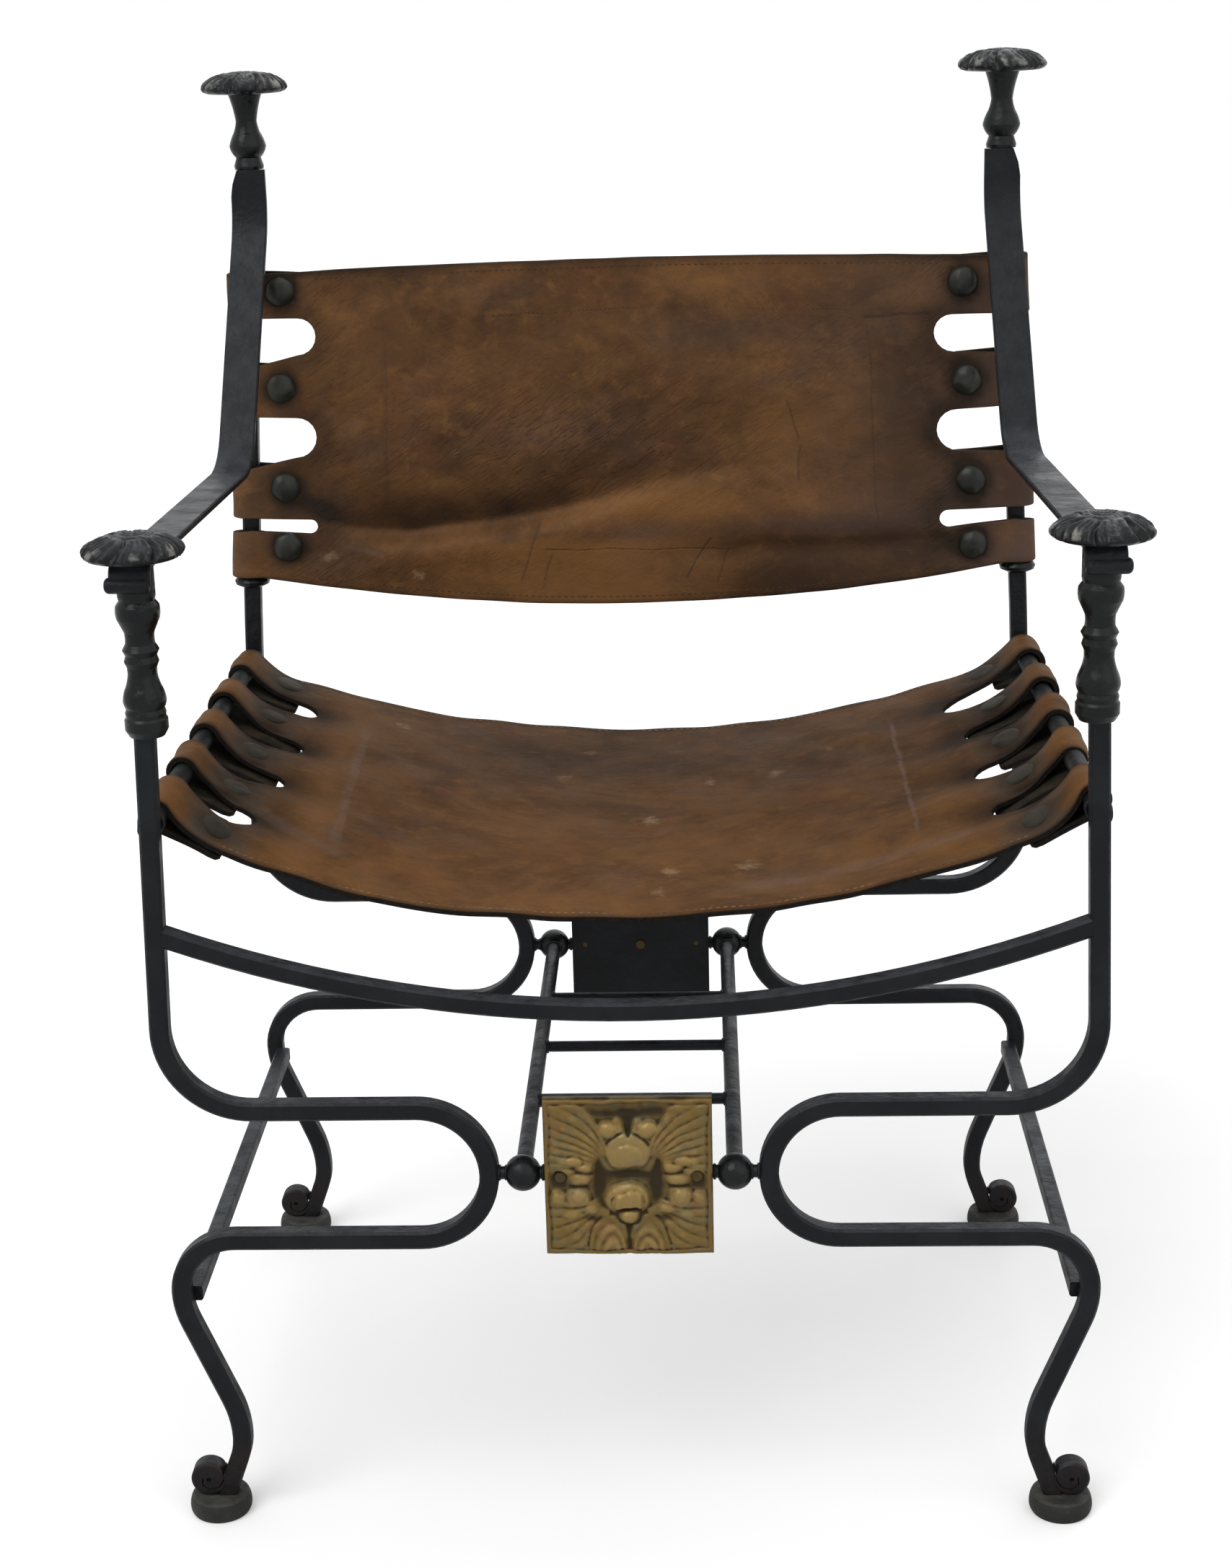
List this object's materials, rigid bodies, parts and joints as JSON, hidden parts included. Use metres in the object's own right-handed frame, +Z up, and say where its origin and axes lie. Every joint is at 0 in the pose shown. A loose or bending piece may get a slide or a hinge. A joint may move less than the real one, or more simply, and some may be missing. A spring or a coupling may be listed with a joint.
{
  "type": "armchair",
  "caption": "Wrought-iron X-frame style armchair with scrolled end frames, slung leather seat and back, turned finials and a brass plaque.",
  "frame": {"origin": "on the floor, under the middle of the chair's overall box", "axes": "+Z up, -Y is the front of the chair, where the sitter's knees are, +X to the sitter's left"},
  "size_m": [0.6666, 0.492, 0.9582],
  "materials": {
    "wrought_iron": "blackened, waxed, hammered edges",
    "cast_rosette": "blackened, worn bright on the raised leaves",
    "pad_iron": "dull, worn grey",
    "nail_iron": "dark olive patina",
    "antique_brass": "dull antique patina, dark in the recesses",
    "screw_brass": "dark patina",
    "leather": "brown bridle leather, darker at the edges, stitched"
  },
  "bodies": {
    "root": {"back_sling": "leather", "front_backing_plate": "wrought_iron", "front_crossbar": "wrought_iron", "front_plaque": "antique_brass", "front_sag_rail": "wrought_iron", "left_arm_strap": "wrought_iron", "left_back_nails": "nail_iron", "left_baluster": "wrought_iron", "left_center_rod": "wrought_iron", "left_finial": "wrought_iron", "left_front_ball": "wrought_iron", "left_front_foot_pad": "pad_iron", "left_front_rosette": "cast_rosette", "left_front_scroll": "wrought_iron", "left_post_collar": "wrought_iron", "left_rear_ball": "wrought_iron", "left_rear_foot_pad": "pad_iron", "left_rear_rosette": "cast_rosette", "left_rear_scroll": "wrought_iron", "left_seat_nails": "nail_iron", "left_seat_rail": "wrought_iron", "left_side_stretcher": "wrought_iron", "middle_crossbar": "wrought_iron", "plaque_screws": "screw_brass", "rear_backing_plate": "wrought_iron", "rear_crossbar": "wrought_iron", "rear_plaque": "antique_brass", "rear_sag_rail": "wrought_iron", "right_arm_strap": "wrought_iron", "right_back_nails": "nail_iron", "right_baluster": "wrought_iron", "right_center_rod": "wrought_iron", "right_finial": "wrought_iron", "right_front_ball": "wrought_iron", "right_front_foot_pad": "pad_iron", "right_front_rosette": "cast_rosette", "right_front_scroll": "wrought_iron", "right_post_collar": "wrought_iron", "right_rear_ball": "wrought_iron", "right_rear_foot_pad": "pad_iron", "right_rear_rosette": "cast_rosette", "right_rear_scroll": "wrought_iron", "right_seat_nails": "nail_iron", "right_seat_rail": "wrought_iron", "right_side_stretcher": "wrought_iron", "seat_sling": "leather"}
  },
  "joints": []
}
